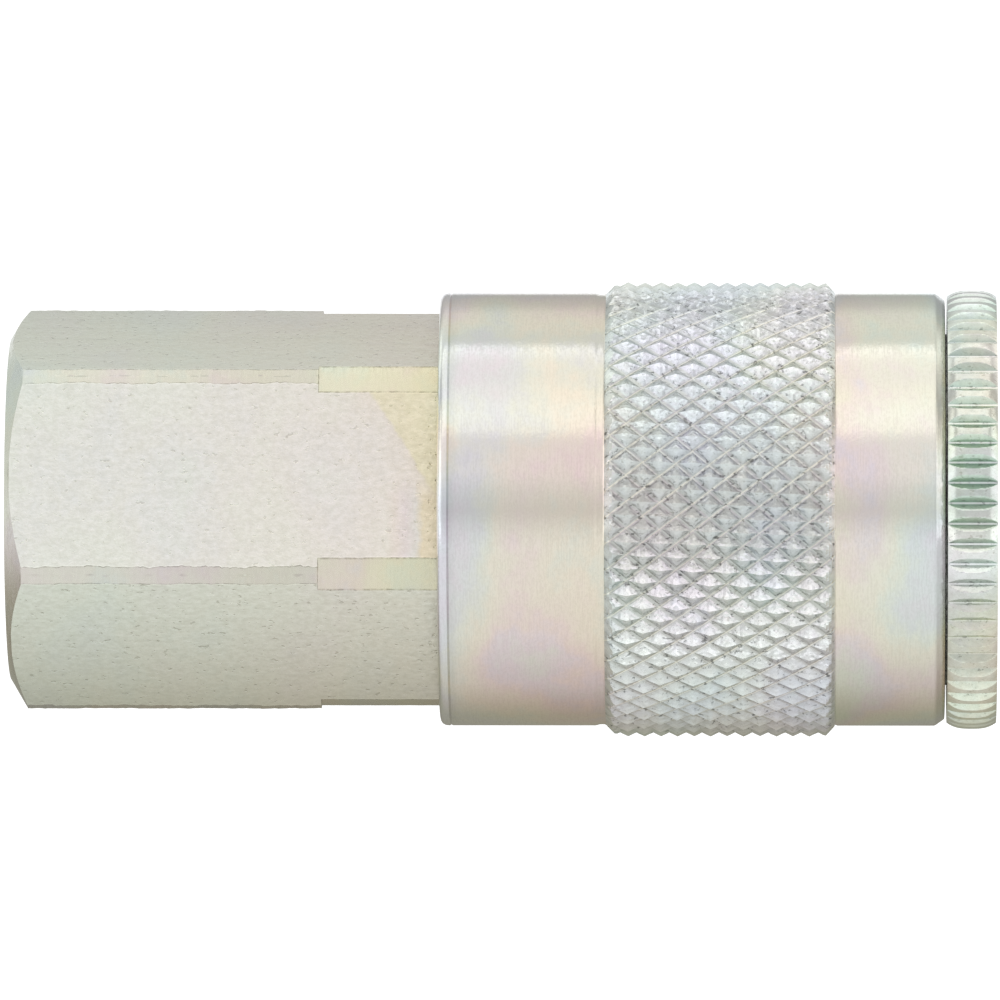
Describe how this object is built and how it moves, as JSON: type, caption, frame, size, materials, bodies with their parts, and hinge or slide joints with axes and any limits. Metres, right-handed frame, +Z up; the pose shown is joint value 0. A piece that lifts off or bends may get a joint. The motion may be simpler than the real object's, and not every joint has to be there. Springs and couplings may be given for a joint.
{
  "type": "quick disconnect coupler",
  "caption": "Sleeve-operated quick disconnect coupler with a hex thread end, a diamond-knurled pull-back sleeve, a fluted nose ring, locking balls and a shut-off valve.",
  "frame": {"origin": "centre of the threaded inlet's mouth, on the thread-end face", "axes": "+X along the axis towards the plug mouth; +Z up, square to a hex flat"},
  "size_m": [0.0579, 0.0267, 0.0268],
  "materials": {
    "zinc_body": "clear iridescent zinc chromate on drawn hex bar",
    "zinc_sleeve": "clear iridescent zinc chromate on turned and knurled steel",
    "zinc_ring": "clear iridescent zinc chromate, greenish, on knurled steel",
    "ball_steel": "polished ball steel",
    "spring_steel": "drawn spring wire",
    "valve_brass": "machined brass",
    "seal_rubber": "moulded nitrile rubber",
    "backup_white": "plain white seal plastic"
  },
  "bodies": {
    "housing": {"hex_body": "zinc_body", "barrel": "zinc_body", "body_seal": "seal_rubber", "nose_ring": "zinc_ring", "nose_snap_ring": "spring_steel", "valve_guide": "valve_brass", "guide_retaining_ring": "spring_steel", "plug_seal": "seal_rubber", "plug_seal_backup": "backup_white"},
    "spring_carrier": {"sleeve_spring": "spring_steel"},
    "sleeve": {"sleeve": "zinc_sleeve"},
    "valve": {"valve_poppet": "valve_brass", "valve_seal": "seal_rubber", "valve_spring": "spring_steel"},
    "ball_1": {"ball_1": "ball_steel"},
    "ball_2": {"ball_2": "ball_steel"},
    "ball_3": {"ball_3": "ball_steel"},
    "ball_4": {"ball_4": "ball_steel"},
    "ball_5": {"ball_5": "ball_steel"},
    "ball_6": {"ball_6": "ball_steel"},
    "ball_7": {"ball_7": "ball_steel"},
    "ball_8": {"ball_8": "ball_steel"}
  },
  "joints": [
    {"name": "sleeve_slide", "type": "slide", "parent": "housing", "child": "spring_carrier", "axis": [1, 0, 0], "range_m": [-0.0049, 0], "stiffness_N_per_m": 1200, "springref_m": 0.006, "deforming": ["sleeve_spring"]},
    {"name": "sleeve_spin", "type": "hinge", "parent": "spring_carrier", "child": "sleeve", "pos_m": [0.04, 0, 0], "axis": [1, 0, 0], "continuous": true},
    {"name": "valve_slide", "type": "slide", "parent": "housing", "child": "valve", "axis": [1, 0, 0], "range_m": [-0.0035, 0], "stiffness_N_per_m": 500, "springref_m": 0.004, "deforming": ["valve_spring"]},
    {"name": "ball_1_slide", "type": "slide", "parent": "housing", "child": "ball_1", "axis": [0, 0, 1], "range_m": [0, 0.00098]},
    {"name": "ball_2_slide", "type": "slide", "parent": "housing", "child": "ball_2", "axis": [0, -0.7071, 0.7071], "range_m": [0, 0.00098]},
    {"name": "ball_3_slide", "type": "slide", "parent": "housing", "child": "ball_3", "axis": [0, -1, 0], "range_m": [0, 0.00098]},
    {"name": "ball_4_slide", "type": "slide", "parent": "housing", "child": "ball_4", "axis": [0, -0.7071, -0.7071], "range_m": [0, 0.00098]},
    {"name": "ball_5_slide", "type": "slide", "parent": "housing", "child": "ball_5", "axis": [0, 0, -1], "range_m": [0, 0.00098]},
    {"name": "ball_6_slide", "type": "slide", "parent": "housing", "child": "ball_6", "axis": [0, 0.7071, -0.7071], "range_m": [0, 0.00098]},
    {"name": "ball_7_slide", "type": "slide", "parent": "housing", "child": "ball_7", "axis": [0, 1, 0], "range_m": [0, 0.00098]},
    {"name": "ball_8_slide", "type": "slide", "parent": "housing", "child": "ball_8", "axis": [0, 0.7071, 0.7071], "range_m": [0, 0.00098]}
  ],
  "couplings": [
    {"joint": "ball_1_slide", "follows": "sleeve_slide", "ratio": -0.2},
    {"joint": "ball_2_slide", "follows": "sleeve_slide", "ratio": -0.2},
    {"joint": "ball_3_slide", "follows": "sleeve_slide", "ratio": -0.2},
    {"joint": "ball_4_slide", "follows": "sleeve_slide", "ratio": -0.2},
    {"joint": "ball_5_slide", "follows": "sleeve_slide", "ratio": -0.2},
    {"joint": "ball_6_slide", "follows": "sleeve_slide", "ratio": -0.2},
    {"joint": "ball_7_slide", "follows": "sleeve_slide", "ratio": -0.2},
    {"joint": "ball_8_slide", "follows": "sleeve_slide", "ratio": -0.2}
  ]
}
